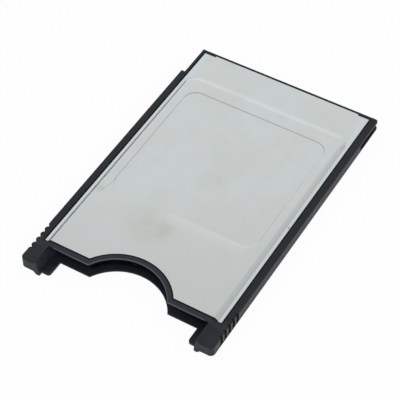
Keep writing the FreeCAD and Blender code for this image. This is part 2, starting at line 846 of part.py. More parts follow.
def make_socket():
    body = new_body("socket_body")
    half = socket_half
    upright(body, "socket_block", add, [rectangle(-half, half, socket_near, far_end)],
            socket_bottom, socket_top)
    arm = rectangle(arm_inner, half, arm_near, socket_near)
    upright(body, "socket_arms", add, [arm, mirrored(arm)], socket_bottom, socket_top)
    lug = rectangle(half, half + s.lug_reach, lug_start, lug_start + s.lug_length)
    upright(body, "socket_lugs", add, [lug, mirrored(lug)], middle - s.lug_height / 2,
            middle + s.lug_height / 2)
    lip = rail_inner - s.socket_lip_gap
    tab = tongue_half + s.cover_gap
    front = far_end - s.cover_far_gap + s.cover_gap
    corner = far_end - s.cover_corner_gap + s.cover_gap
    lip_outline = [
        (-lip, corner),
        (-tab, corner),
        (-tab, front),
        (tab, front),
        (tab, corner),
        (lip, corner),
        (lip, far_end),
        (-lip, far_end),
    ]
    upright(body, "socket_lip", add, [lip_outline], edge_bottom, edge_top)
    wall = far_end - s.entry_depth
    rooms = [socket_square(row, s.room_width, s.room_height) for row in (1, -1)]
    entries = [socket_square(row, s.entry_size, s.entry_size) for row in (1, -1)]
    room = lengthwise(body, "contact_room", cut, rooms, socket_near, wall)
    repeat(body, "contact_rooms", [room], "H_Axis", s.pin_pitch, contact_count)
    entry = lengthwise(body, "contact_entry", cut, entries, wall, far_end)
    repeat(body, "contact_entries", [entry], "H_Axis", s.pin_pitch, contact_count)
    for name, place in (("left", -socket_tab_place()), ("right", socket_tab_place())):
        crosswise(body, f"{name}_arm_slot", cut, [tab_room(arm_near, -1)],
                  place - s.tab_width / 2 - s.tab_gap, place + s.tab_width / 2 + s.tab_gap)
    body.Tip = body.Group[-1]
    return body


def socket_tab_place():
    return (arm_inner + board_half) / 2


def contact_profile(row):
    # One contact in Y and Z: a tail on the board, a root in the moulding, and two tines.
    centre = middle + row * s.row_pitch / 2
    pad = board_top if row > 0 else board_bottom
    tail_end = socket_near - s.contact_tail
    step_start = socket_near - s.tail_step
    base = socket_near + s.contact_root
    fork = base + s.contact_base
    tip = far_end - s.entry_depth - s.contact_end_gap
    strip = row * s.contact_sheet / 2
    tall = row * s.contact_height / 2
    slack = row * s.tine_gap / 2
    outer = [
        (tail_end, pad),
        (step_start, pad),
        (socket_near, centre - strip),
        (base, centre - tall),
        (tip, centre - tall),
        (tip, centre - slack),
        (fork, centre - slack),
        (fork, centre + slack),
        (tip, centre + slack),
        (tip, centre + tall),
        (base, centre + tall),
        (socket_near, centre + strip),
        (step_start, pad + row * s.contact_sheet),
        (tail_end, pad + row * s.contact_sheet),
    ]
    return outer


def make_contacts(label, row):
    body = new_body(label)
    left = row_start(contact_count) - s.contact_width / 2
    first = crosswise(body, f"{label}_first", add, [contact_profile(row)], left,
                      left + s.contact_width)
    pattern = body.newObject("PartDesign::LinearPattern", f"{label}_row")
    pattern.Originals = [first]
    pattern.Direction = (axis_of(body, "X_Axis"), [""])
    pattern.Mode = "Spacing"
    bind(pattern, "Offset", s.pin_pitch)
    pattern.Occurrences = int(contact_count.value)
    pattern.setExpression("Occurrences", contact_count.text)
    body.Tip = pattern
    return body


def make_chip(label, x, height):
    body = new_body(label)
    near = board_near + s.chip_near
    upright(body, f"{label}_block", add,
            [rectangle(x - s.chip_length / 2, x + s.chip_length / 2, near, near + s.chip_width)],
            board_top, board_top + height)
    return body


def make_film(label, face, inwards):
    # Thin film stuck to the inner face of a cover, over the circuit board.
    body = new_body(label)
    near = header_far + s.film_near
    half = label_half - s.film_inset
    low, high = (face, face + s.film_thickness) if inwards > 0 else (face - s.film_thickness, face)
    upright(body, f"{label}_sheet", add,
            [rectangle(-half, half, near, near + s.film_length)], low, high)
    return body


nodes = [
    make_frame(),
    make_cover("top_cover", recess=True),
    make_lower_cover(),
    make_board(),
    make_header(),
    pins("header_signal_pins_upper", s.signal_pin_length, [(1, 1), (13, 1)], run=11),
    pins("header_signal_pins_lower", s.signal_pin_length, [(1, -1), (13, -1)], run=11),
    pins("header_power_pins", s.power_pin_length, [(0, 1), (12, 1), (12, -1), (24, -1)]),
    pins("header_detect_pins", s.detect_pin_length, [(24, 1), (0, -1)]),
    make_tab("header_solder_tab_left", -header_tab_place(), header_far, 1),
    make_tab("header_solder_tab_right", header_tab_place(), header_far, 1),
    make_socket(),
    make_contacts("socket_contacts_upper", 1),
    make_contacts("socket_contacts_lower", -1),
    make_tab("socket_solder_tab_left", -socket_tab_place(), arm_near, -1),
    make_tab("socket_solder_tab_right", socket_tab_place(), arm_near, -1),
    make_chip("supply_capacitor_left", -s.chip_place, s.capacitor_height),
    make_chip("supply_capacitor_right", s.chip_place, s.capacitor_height),
    make_chip("pull_up_resistor", Size(0.0, "0"), s.resistor_height),
    make_film("upper_insulating_film", s.card_thickness - s.sheet - s.label_depth, -1),
    make_film("lower_insulating_film", s.sheet, 1),
]
doc.recompute()

faults = [item.Label for item in doc.Objects if "Invalid" in item.State or "Error" in item.State]
for item in doc.Objects:
    cuts = item.TypeId in ("PartDesign::Pocket", "PartDesign::SubtractiveLoft")
    if cuts and item.BaseFeature is not None:
        if item.Shape.Volume > item.BaseFeature.Shape.Volume - 0.0001:
            faults.append(f"{item.Label} cuts nothing")
for node in nodes:
    if node.Shape.isNull() or not node.Shape.isValid():
        faults.append(f"{node.Label} has no valid shape")
if faults:
    raise RuntimeError("; ".join(faults))

os.makedirs("parts", exist_ok=True)
for node in nodes:
    node.Shape.exportStep(f"parts/{node.Label}.step")
    box = node.Shape.BoundBox
    print(f"{node.Label}: {len(node.Shape.Solids)} solids, volume {node.Shape.Volume:.2f}, "
          f"x {box.XMin:.2f} {box.XMax:.2f}, y {box.YMin:.2f} {box.YMax:.2f}, "
          f"z {box.ZMin:.2f} {box.ZMax:.2f}")
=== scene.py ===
import json
import math

import bmesh
import bpy
from mathutils import Matrix, Vector


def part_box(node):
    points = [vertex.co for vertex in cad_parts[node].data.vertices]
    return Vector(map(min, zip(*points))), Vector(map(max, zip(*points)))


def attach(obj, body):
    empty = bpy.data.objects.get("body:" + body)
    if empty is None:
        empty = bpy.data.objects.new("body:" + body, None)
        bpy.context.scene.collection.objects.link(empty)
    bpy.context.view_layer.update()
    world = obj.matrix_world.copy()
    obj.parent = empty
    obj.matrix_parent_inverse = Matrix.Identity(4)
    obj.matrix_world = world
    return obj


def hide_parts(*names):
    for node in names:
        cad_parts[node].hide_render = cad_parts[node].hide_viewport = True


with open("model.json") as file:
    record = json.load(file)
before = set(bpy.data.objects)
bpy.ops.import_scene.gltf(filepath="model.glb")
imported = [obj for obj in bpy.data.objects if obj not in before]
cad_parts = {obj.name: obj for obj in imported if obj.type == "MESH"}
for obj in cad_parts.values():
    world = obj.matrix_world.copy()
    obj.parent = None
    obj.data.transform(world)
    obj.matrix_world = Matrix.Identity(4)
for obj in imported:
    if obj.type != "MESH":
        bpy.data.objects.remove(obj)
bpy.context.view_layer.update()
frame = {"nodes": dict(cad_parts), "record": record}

nodes = frame["nodes"]
scene = bpy.context.scene
mm = 0.001

# Sizes of the card in mm: outside, over the rails' height, and the rows of pins and contacts
halfWidth = 27.0
halfLength = 42.8
thickness = 5.0
edgeTop = 4.15
edgeBottom = 0.85
pitch = 1.27
pinColumns = 25
contactColumns = 34
rowsReach = 1.2  # both rows lie within this much of the middle of the thickness


class Wire:
    # One node socket. Sums and products of wires add their own Math nodes.
    def __init__(self, graph, socket):
        self.graph = graph
        self.socket = socket

    def maths(self, operation, first, second):
        sockets = {0: first, 1: second}
        return self.graph.node("ShaderNodeMath", {"operation": operation}, sockets).out()

    def __add__(self, other):
        return self.maths("ADD", self, other)

    def __radd__(self, other):
        return self.maths("ADD", other, self)

    def __sub__(self, other):
        return self.maths("SUBTRACT", self, other)

    def __rsub__(self, other):
        return self.maths("SUBTRACT", other, self)

    def __mul__(self, other):
        return self.maths("MULTIPLY", self, other)

    def __rmul__(self, other):
        return self.maths("MULTIPLY", other, self)

    def __pow__(self, other):
        return self.maths("POWER", self, other)

    def __mod__(self, other):
        return self.maths("MODULO", self, other)

    def __neg__(self):
        return self.maths("SUBTRACT", 0.0, self)

    def __abs__(self):
        return self.maths("ABSOLUTE", self, 0.0)

    def least(self, other):
        return self.maths("MINIMUM", self, other)

    def most(self, other):
        return self.maths("MAXIMUM", self, other)

    def rise(self, low, high):
        # 0 below low, 1 above high, smooth between them
        settings = {"interpolation_type": "SMOOTHSTEP", "clamp": True}
        sockets = {"Value": self, "From Min": low, "From Max": high, "To Min": 0.0, "To Max": 1.0}
        return self.graph.node("ShaderNodeMapRange", settings, sockets).out()

    def fall(self, low, high):
        # 1 below low, 0 above high
        return 1 - self.rise(low, high)


class Placed:
    # A node that was made, asked for one of its outputs
    def __init__(self, graph, node):
        self.graph = graph
        self.node = node

    def out(self, name=0):
        return Wire(self.graph, self.node.outputs[name])


class Graph:
    # A tree of nodes. Every node comes from one method.
    def __init__(self, tree):
        self.tree = tree
        self.tree.nodes.clear()

    def node(self, kind, settings=None, sockets=None):
        node = self.tree.nodes.new(kind)
        for key, value in (settings or {}).items():
            setattr(node, key, value)
        for key, value in (sockets or {}).items():
            socket = node.inputs[key]
            if isinstance(value, Wire):
                self.tree.links.new(value.socket, socket)
            elif socket.type == "RGBA":
                socket.default_value = (*value[:3], 1.0)
            else:
                socket.default_value = value
        return Placed(self, node)


class Finish(Graph):
    # One material. Its patterns read Object coordinates in millimetres.
    def __init__(self, name):
        self.material = bpy.data.materials.new(name)
        self.material.use_nodes = True
        super().__init__(self.material.node_tree)
        raw = self.node("ShaderNodeTexCoord").out("Object")
        scaled = {0: raw, "Scale": 1 / mm}
        self.place = self.node("ShaderNodeVectorMath", {"operation": "SCALE"}, scaled).out()
        split = self.node("ShaderNodeSeparateXYZ", None, {0: self.place})
        self.x, self.y, self.z = (split.out(axis) for axis in "XYZ")

    def noise(self, scale, detail, roughness=0.5, stretch=None):
        place = self.place
        if stretch:
            place = self.node("ShaderNodeMapping", None, {"Vector": place, "Scale": stretch}).out()
        sockets = {"Vector": place, "Scale": scale, "Detail": detail, "Roughness": roughness}
        return self.node("ShaderNodeTexNoise", None, sockets).out()

    def mixed(self, factor, first, second):
        colours = {0: factor, 6: first, 7: second}
        return self.node("ShaderNodeMix", {"data_type": "RGBA"}, colours).out(2)

    def bump(self, height, distance, strength):
        # The distance is in mm
        sockets = {"Height": height, "Distance": distance * mm, "Strength": strength}
        return self.node("ShaderNodeBump", None, sockets).out()

    def spot(self, x, y, radius, soft):
        # 1 inside a round spot as seen from above, fading over its soft rim
        away = ((self.x - x) ** 2.0 + (self.y - y) ** 2.0) ** 0.5
        return away.fall(radius - soft, radius + soft)

    def principled(self, **sockets):
        names = {"colour": "Base Color", "roughness": "Roughness", "metallic": "Metallic",
                 "normal": "Normal", "alpha": "Alpha", "specular": "Specular IOR Level"}
        values = {names[key]: value for key, value in sockets.items()}
        shader = self.node("ShaderNodeBsdfPrincipled", None, values)
        self.node("ShaderNodeOutputMaterial", None, {"Surface": shader.out()})
        return self.material


def paint(red, green, blue):
    # A screen colour of 0 to 255 as linear light
    linear = []
    for value in (red, green, blue):
        value /= 255
        linear.append(value / 12.92 if value <= 0.04045 else ((value + 0.055) / 1.055) ** 2.4)
    return tuple(linear)


def shade(colour, amount):
    return tuple(value * amount for value in colour)


plasticValues = {
    "frame": paint(22, 25, 31), "header": paint(26, 27, 29), "socket": paint(24, 26, 30),
    "grainNoise": (5.0, 3.0, 0.65), "patchNoise": (0.16, 4.0, 0.6), "dim": 0.85, "lit": 1.3,
    "roughness": 0.46, "patchRough": 0.12, "grainRough": 0.08,
    "grainDeep": 0.012, "grainStrength": 0.7, "shine": 0.27,
}


# Places and widths in mm, shares of 0 to 1. A pair is where a fade starts and ends.
# Paler tones, a painted highlight and painted shade on the frame
frameToneAndLightValues = {
    "paintedShade": (0.0015, 0.0015, 0.0015), "shadeRough": 0.4,
    "bars": 0.38, "paleTone": paint(48, 51, 60), "barY": -36.0, "barFade": (0.8, 2.0),
    "ringRadius": 13.2, "ringFade": (0.9, 1.2), "barTop": (4.65, 4.8), "mouthEnd": (-28.0, -27.5),
    "ears": 0.7, "earTone": paint(29, 35, 41), "earY": (-38.6, -37.8),
    "rim": 0.8, "rimHighlight": paint(84, 86, 94), "rimY": -36.93, "rimRadius": 12.54,
    "rimWide": 0.13, "rimInside": (0.3, 0.5), "rimSide": (21.0, 21.5),
    "seamShade": 1.0, "seamY": -35.42, "seamRadius": 13.92, "seamWide": 0.2, "seamStart": 13.6,
    "seamTurn": (-35.6, -35.4), "railSeamX": 25.0, "railSeamY": (-35.72, -35.52),
    "railLow": (4.0, 4.1), "railHigh": (4.2, 4.25),
    "grooves": 0.85, "ribs": 0.9, "ribPale": paint(80, 76, 72),
    "gripNear": (-39.5, -39.45), "gripFar": (-30.1, -30.05), "gripSide": (26.0, 26.05),
    "gripBase": (1.3, 1.4), "gripTop": (4.0, 4.1),
    "grooveX": (26.85, 26.95), "ribX": (26.88, 26.98),
}


def line(away, wide):
    # 1 on a line and fading beside it, from the distance to the line
    return abs(away).fall(wide * 0.5, wide * 1.5)


def frameToneAndPaintedLight(surface, tone, rough):
    # Bars, ears and rib crests are paler in tone. The near rim gets a painted highlight,
    # and the seams and grooves get painted shade.
    values = frameToneAndLightValues
    aside, y, z = abs(surface.x), surface.y, surface.z
    reach = (surface.x ** 2.0 + (y + halfLength) ** 2.0) ** 0.5  # from the middle of the notch
    bars = abs(y - values["barY"]).fall(*values["barFade"])
    bars = bars.most(abs(reach - values["ringRadius"]).fall(*values["ringFade"]))
    tone = surface.mixed(bars * values["bars"], tone, values["paleTone"])
    tone = surface.mixed(y.fall(*values["earY"]) * values["ears"], tone, values["earTone"])
    high = z.rise(*values["barTop"])
    mouth = y.fall(*values["mouthEnd"])
    # Painted highlight along the near rim of the bars and round the notch
    near = abs(y - values["rimY"]).least(abs(reach - values["rimRadius"]))
    outside = (values["rimRadius"] - reach).fall(*values["rimInside"])
    between = aside.fall(*values["rimSide"])
    rim = line(near, values["rimWide"]) * high * outside * between * mouth
    tone = surface.mixed(rim * values["rim"], tone, values["rimHighlight"])
    # Painted shade in the narrow gaps between bars and cover and between rail and cover
    seamShade = line(y - values["seamY"], values["seamWide"])
    seamShade = seamShade * (reach - values["seamStart"]).rise(0.0, 0.1)
    inNotch = line(reach - values["seamRadius"], values["seamWide"]) * y.rise(*values["seamTurn"])
    seamShade = seamShade.most(inNotch) * high * mouth
    onRail = z.rise(*values["railLow"]) * z.fall(*values["railHigh"])
    railGapShade = line(aside - values["railSeamX"], values["seamWide"]) * onRail
    seamShade = seamShade.most(railGapShade * y.rise(*values["railSeamY"]))
    tone = surface.mixed(seamShade * values["seamShade"], tone, values["paintedShade"])
    grip = y.rise(*values["gripNear"]) * y.fall(*values["gripFar"])
    grip = grip * aside.rise(*values["gripSide"])
    grip = grip * z.fall(*values["gripTop"]) * z.rise(*values["gripBase"])
    groove = grip * aside.fall(*values["grooveX"])
    rib = grip * aside.rise(*values["ribX"])
    # Painted shade down in the grip grooves
    tone = surface.mixed(groove * values["grooves"], tone, values["paintedShade"])
    tone = surface.mixed(rib * values["ribs"], tone, values["ribPale"])
    return tone, rough + (groove + seamShade) * values["shadeRough"]


def mouldedPlastic(name, colour, handled=False):
    values = plasticValues
    surface = Finish(name)
    fine = surface.noise(*values["grainNoise"])
    patch = surface.noise(*values["patchNoise"])
    tone = surface.mixed(patch.rise(0.35, 0.7), shade(colour, values["dim"]),
                         shade(colour, values["lit"]))
    rough = values["roughness"] + (patch - 0.5) * values["patchRough"]
    rough = rough + (fine - 0.5) * values["grainRough"]
    # The frame gets paler tones, a painted highlight and painted shade
    if handled:
        tone, rough = frameToneAndPaintedLight(surface, tone, rough)
    grain = surface.bump(fine, values["grainDeep"], values["grainStrength"])
    return surface.principled(colour=tone, roughness=rough, specular=values["shine"], normal=grain)


# Places and widths in mm. Marks and fleck are x, y, radius and soft rim, and marks have a share.
steelValues = {
    "bright": paint(213, 219, 219), "dull": paint(210, 215, 213), "cloudNoise": (0.09, 4.0, 0.6),
    "near": paint(205, 210, 209), "nearFrom": 2.0, "nearLean": 0.35, "nearRun": 46.0,
    "nearShare": 0.9,
    "margin": paint(214, 222, 226), "marginShare": 0.8, "marginFade": (1.66, 1.9),
    "marginSide": (23.0, 23.6),
    "handled": paint(201, 201, 194), "patchNoise": (0.35, 3.0, 0.6), "patchy": 0.4,
    "marks": [(-1.5, -18.6, 2.5, 2.2, 0.8), (-5.5, -19.2, 5.2, 4.4, 0.65),
              (1.2, 2.2, 3.5, 3.0, 0.35), (-22.1, -14.8, 1.0, 0.9, 0.8)],
    "sootAndShade": paint(120, 128, 136), "fleck": (24.5, -1.6, 0.22, 0.12),
    "paleTone": paint(228, 232, 230), "stepCorner": (17.4, -9.6, 3.5), "stepLine": 0.2,
    "stepWide": (0.1, 0.5), "stepFrom": (8.0, 16.0), "stepSheen": 0.3, "sheenReach": 4.5,
    "sheenStart": 0.9, "sheenTo": (16.0, 21.0), "sheenFrom": (-7.0, -1.0), "sheenNear": (0.6, 2.6),
    "foldX": 23.63, "foldEnd": (27.5, 29.5), "foldHighlight": 0.5, "highlightWide": (0.25, 0.5),
    "foldShade": 0.65, "shadeOut": 0.05, "shadeWide": (0.05, 0.3),
    "creaseShade": 0.15, "creaseX": -20.55, "creaseTurn": -12.0, "creaseLean": 0.27,
    "creaseWide": (0.1, 0.4), "creaseNear": (-15.7, -14.9), "creaseFar": (-10.2, -9.6),
    "roughness": 0.23, "cloudRough": 0.05, "grainNoise": (7.0, 3.0, 0.6), "grainRough": 0.04,
    "grainDeep": 0.0012, "grainStrength": 0.35,
}


def paintedStepHighlight(surface):
    # A painted highlight lies along the label recess's near step, round to its right corner.
    # A painted sheen lies on the sheet before it.
    values = steelValues
    x, y = surface.x, surface.y
    cornerX, cornerY, radius = values["stepCorner"]
    past = ((x - cornerX).most(0.0) ** 2.0 + (cornerY - y).most(0.0) ** 2.0) ** 0.5
    past = past - radius
    onStep = abs(past).fall(*values["stepWide"]) * values["stepLine"] * x.rise(*values["stepFrom"])
    start = values["sheenStart"]
    sheen = past.fall(0.0, values["sheenReach"]) * (past + start).rise(0.0, start)
    sheen = sheen * values["stepSheen"] * x.fall(*values["sheenTo"])
    reached = x.rise(*values["sheenFrom"])
    return (onStep + sheen) * reached * (cornerY - y).rise(*values["sheenNear"])


def drawnSteel(name):
    # Satin sheet, a little yellowed where it is handled, with painted highlights and shade
    values = steelValues
    surface = Finish(name)
    x, y, z = surface.x, surface.y, surface.z
    grain = surface.noise(*values["grainNoise"])
    cloud = surface.noise(*values["cloudNoise"])
    tone = surface.mixed(cloud.rise(0.35, 0.7), values["bright"], values["dull"])
    nearEnd = (values["nearFrom"] - y + x * values["nearLean"]).rise(0.0, values["nearRun"])
    tone = surface.mixed(nearEnd * values["nearShare"], tone, values["near"])
    margin = abs(z - thickness / 2).fall(*values["marginFade"]) * abs(x).rise(*values["marginSide"])
    tone = surface.mixed(margin * values["marginShare"], tone, values["margin"])
    patch = surface.noise(*values["patchNoise"])
    patch = 1 - values["patchy"] + patch.rise(0.35, 0.6) * values["patchy"]
    upper = z.rise(thickness / 2 - 0.1, thickness / 2 + 0.1)
    for *spot, strength in values["marks"]:
        spread = surface.spot(*spot) * patch * strength
        tone = surface.mixed(spread * upper, tone, values["handled"])
    # Painted highlight and sheen at the label recess's near step
    tone = surface.mixed(paintedStepHighlight(surface) * upper, tone, values["paleTone"])
    # Painted dark reflection along the foot of the left slope, painted highlight on the right slope
    beside = y.fall(*values["foldEnd"]) * upper
    paintedShade = abs(x + values["foldX"] + values["shadeOut"]).fall(*values["shadeWide"]) * beside
    tone = surface.mixed(paintedShade * values["foldShade"], tone, values["sootAndShade"])
    rightSlopeHighlight = abs(x - values["foldX"]).fall(*values["highlightWide"]) * beside
    tone = surface.mixed(rightSlopeHighlight * values["foldHighlight"], tone, values["paleTone"])
    # Painted shade of a fine crease that runs on from the recess's left side and leans outward
    lean = (values["creaseTurn"] - y).most(0.0) * values["creaseLean"]
    creaseShade = abs(x - values["creaseX"] + lean).fall(*values["creaseWide"])
    creaseShade = creaseShade * y.rise(*values["creaseNear"]) * y.fall(*values["creaseFar"]) * upper
    tone = surface.mixed(creaseShade * values["creaseShade"], tone, values["sootAndShade"])
    tone = surface.mixed(surface.spot(*values["fleck"]) * upper, tone, values["sootAndShade"])
    rough = values["roughness"] + (cloud - 0.5) * values["cloudRough"]
    rough = rough + (grain - 0.5) * values["grainRough"]
    height = surface.bump(grain, values["grainDeep"], values["grainStrength"])
    return surface.principled(colour=tone, roughness=rough, metallic=1.0, normal=height)


metalValues = {
    "gold": paint(226, 186, 110), "goldRough": 0.25, "tin": paint(200, 200, 196), "tinRough": 0.35,
    "cloudNoise": (1.5, 2.0), "cloudRough": 0.1, "dim": 0.78,
}


def plated(name, colour, roughness):
    values = metalValues
    surface = Finish(name)
    cloud = surface.noise(*values["cloudNoise"])
    tone = surface.mixed(cloud.rise(0.3, 0.7), colour, shade(colour, values["dim"]))
    rough = roughness + cloud * values["cloudRough"]
    return surface.principled(colour=tone, roughness=rough, metallic=1.0)


boardValues = {
    "deep": paint(18, 84, 52), "pale": paint(24, 98, 60), "cloudNoise": (0.8, 3.0),
    "weaveNoise": (3.0, 2.0, 0.5, (1.0, 6.0, 1.0)), "weaveDeep": 0.01, "weaveStrength": 0.5,
    "roughness": 0.32, "weaveRough": 0.1,
}


def boardLaminate(name):
    values = boardValues
    surface = Finish(name)
    cloud = surface.noise(*values["cloudNoise"])
    weave = surface.noise(*values["weaveNoise"])
    tone = surface.mixed(cloud.rise(0.3, 0.7), values["deep"], values["pale"])
    rough = values["roughness"] + weave * values["weaveRough"]
    height = surface.bump(weave, values["weaveDeep"], values["weaveStrength"])
    return surface.principled(colour=tone, roughness=rough, normal=height)


ceramicValues = {
    "capacitor": paint(150, 118, 84), "resistor": paint(36, 36, 38), "speckNoise": (6.0, 2.0),
    "dim": 0.8, "roughness": 0.5, "speckRough": 0.1,
}


def chipCeramic(name, colour):
    values = ceramicValues
    surface = Finish(name)
    speck = surface.noise(*values["speckNoise"])
    tone = surface.mixed(speck.rise(0.3, 0.7), colour, shade(colour, values["dim"]))
    rough = values["roughness"] + speck * values["speckRough"]
    return surface.principled(colour=tone, roughness=rough)


filmValues = {
    "pale": paint(205, 140, 45), "deep": paint(190, 125, 38), "cloudNoise": (0.3, 2.0),
    "roughness": 0.2, "cloudRough": 0.05, "alpha": 0.8,
}


def clearFilm(name):
    values = filmValues
    surface = Finish(name)
    cloud = surface.noise(*values["cloudNoise"])
    tone = surface.mixed(cloud, values["pale"], values["deep"])
    rough = values["roughness"] + cloud * values["cloudRough"]
    return surface.principled(colour=tone, roughness=rough, alpha=values["alpha"])


finishes = {
    "frame_plastic": mouldedPlastic("framePlastic", plasticValues["frame"], True),
    "header_plastic": mouldedPlastic("headerPlastic", plasticValues["header"]),
    "socket_plastic": mouldedPlastic("socketPlastic", plasticValues["socket"]),
    "cover_steel": drawnSteel("coverSteel"),
    "gold_contacts": plated("goldPlating", metalValues["gold"], metalValues["goldRough"]),
    "tinned_metal": plated("tinPlating", metalValues["tin"], metalValues["tinRough"]),
    "board_laminate": boardLaminate("boardLaminate"),
    "capacitor_ceramic": chipCeramic("capacitorCeramic", ceramicValues["capacitor"]),
    "resistor_ceramic": chipCeramic("resistorCeramic", ceramicValues["resistor"]),
    "insulating_film": clearFilm("amberFilm"),
}
slotOf = {part["node"]: part["material_slot"] for part in frame["record"]["subparts"]}
for name, piece in nodes.items():
    piece.data.materials.clear()
    piece.data.materials.append(finishes[slotOf[name]])
print("materials ready:", len(finishes))


def pieceFrom(name, mesh, slot, *replaced):
    piece = bpy.data.objects.new(name, mesh)
    mesh.materials.clear()
    mesh.materials.append(finishes[slot])
    scene.collection.objects.link(piece)
    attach(piece, "root")
    if replaced:
        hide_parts(*replaced)


def mergedCopy(node):
    # The node's triangles as whole flat faces again
    sheet = bmesh.new()
    sheet.from_mesh(nodes[node].data)
    bmesh.ops.remove_doubles(sheet, verts=sheet.verts, dist=0.0005 * mm)
    bmesh.ops.dissolve_limit(sheet, angle_limit=math.radians(0.6), verts=sheet.verts,
                             edges=sheet.edges, use_dissolve_boundaries=False)
    return sheet


def cutAcross(sheet, place, normal):
    # Divides every face where a plane crosses it. The place is in mm.
    everything = sheet.verts[:] + sheet.edges[:] + sheet.faces[:]
    bmesh.ops.bisect_plane(sheet, geom=everything, plane_co=[value * mm for value in place],
                           plane_no=normal, dist=0.0001 * mm)


def roundEdges(sheet, wanted, width, segments):
    picked = [edge for edge in sheet.edges if len(edge.link_faces) == 2 and wanted(edge)]
    bmesh.ops.bevel(sheet, geom=picked, offset=width * mm, segments=segments, profile=0.5,
                    affect="EDGES", clamp_overlap=False, loop_slide=True)
    return len(picked)


def evaluatedMesh(holder):
    # A plain mesh of what the object's modifiers make
    made = holder.evaluated_get(bpy.context.evaluated_depsgraph_get())
    return bpy.data.meshes.new_from_object(made)


def finishedMesh(name, sheet):
    # Smooth over the small rounds, flat on the wide faces
    values = {"sharpFrom": 40, "weight": 90}
    mesh = bpy.data.meshes.new(name)
    sheet.to_mesh(mesh)
    sheet.free()
    mesh.shade_smooth()
    mesh.set_sharp_from_angle(angle=math.radians(values["sharpFrom"]))
    holder = bpy.data.objects.new(name, mesh)
    scene.collection.objects.link(holder)
    weighted = holder.modifiers.new("weighted", "WEIGHTED_NORMAL")
    weighted.keep_sharp = True
    weighted.weight = values["weight"]
    ready = evaluatedMesh(holder)
    bpy.data.objects.remove(holder)
    bpy.data.meshes.remove(mesh)
    ready.name = name
    return ready


def corner(edge):
    # Folded edge: its middle in mm, its direction and its fold in degrees
    middle = (edge.verts[0].co + edge.verts[1].co) / 2 / mm
    along = (edge.verts[1].co - edge.verts[0].co).normalized()
    return middle, along, math.degrees(edge.calc_face_angle(0.0))


def makeFrame():
    # The outer edges of rails and ears are rounded along their top and bottom
    values = {"upperEdges": 0.09, "lowerEdges": 0.14, "segments": 2, "sideFrom": 25.9, "fold": 35,
              "within": 0.02}
    sheet = mergedCopy("frame")

    def outside(edge):
        middle, along, fold = corner(edge)
        return fold > values["fold"] and edge.is_convex and abs(middle.x) > values["sideFrom"]

    def upper(edge):
        return outside(edge) and corner(edge)[0].z > edgeTop - values["within"]

    def lower(edge):
        return outside(edge) and corner(edge)[0].z < edgeBottom + values["within"]

    counts = [roundEdges(sheet, upper, values["upperEdges"], values["segments"]),
              roundEdges(sheet, lower, values["lowerEdges"], values["segments"])]
    mesh = finishedMesh("frameMoulding", sheet)
    pieceFrom("frameMoulding", mesh, "frame_plastic", "frame")
    print("frame moulding, edges rounded:", counts, "faces:", len(mesh.polygons))


def rollSlope(sheet, foot, face, values):
    # The slope gets a soft roll: a small bend at its foot, then steep, then easing to the face
    bend = values["footBend"]
    for share in values["levels"]:
        cutAcross(sheet, (0, 0, foot + (face - foot) * share), (0, 0, 1))
    sheet.normal_update()
    outward = 1 if face > foot else -1
    rolled = []
    for vert in sheet.verts:
        share = (vert.co.z / mm - foot) / (face - foot)
        if not 0.005 < share < 0.995:  # foot and face stay
            continue
        leaning = [side.normal for side in vert.link_faces if 0.3 < side.normal.z * outward < 0.99]
        if leaning:
            across = sum(abs(normal.x) for normal in leaning)
            along = sum(abs(normal.y) for normal in leaning)
            rolled.append((vert, share, along / (across + along)))
    for vert, share, farPart in rolled:
        crown = values["sideCrown"] + (values["farCrown"] - values["sideCrown"]) * farPart
        eased = share * share / (2 * bend) if share < bend else share - bend / 2
        eased /= 1 - bend / 2
        vert.co.z = (foot + (face - foot) * (1 - (1 - eased) ** crown)) * mm
    sheet.normal_update()
    return len(rolled)


def slantWalls(sheet, floor, outward, run):
    # The pressed recess gets sloping walls: its floor's rim moves inwards
    moves = []
    for vert in sheet.verts:
        walls = [side.normal for side in vert.link_faces if abs(side.normal.z) < 0.3]
        flat = [side for side in vert.link_faces if side.normal.z * outward > 0.99]
        if abs(vert.co.z / mm - floor) < 0.01 and walls and flat:
            away = sum(walls, Vector()).normalized()
            moves.append((vert, away * run * mm))
    for vert, move in moves:
        vert.co += move
    sheet.normal_update()
    return len(moves)


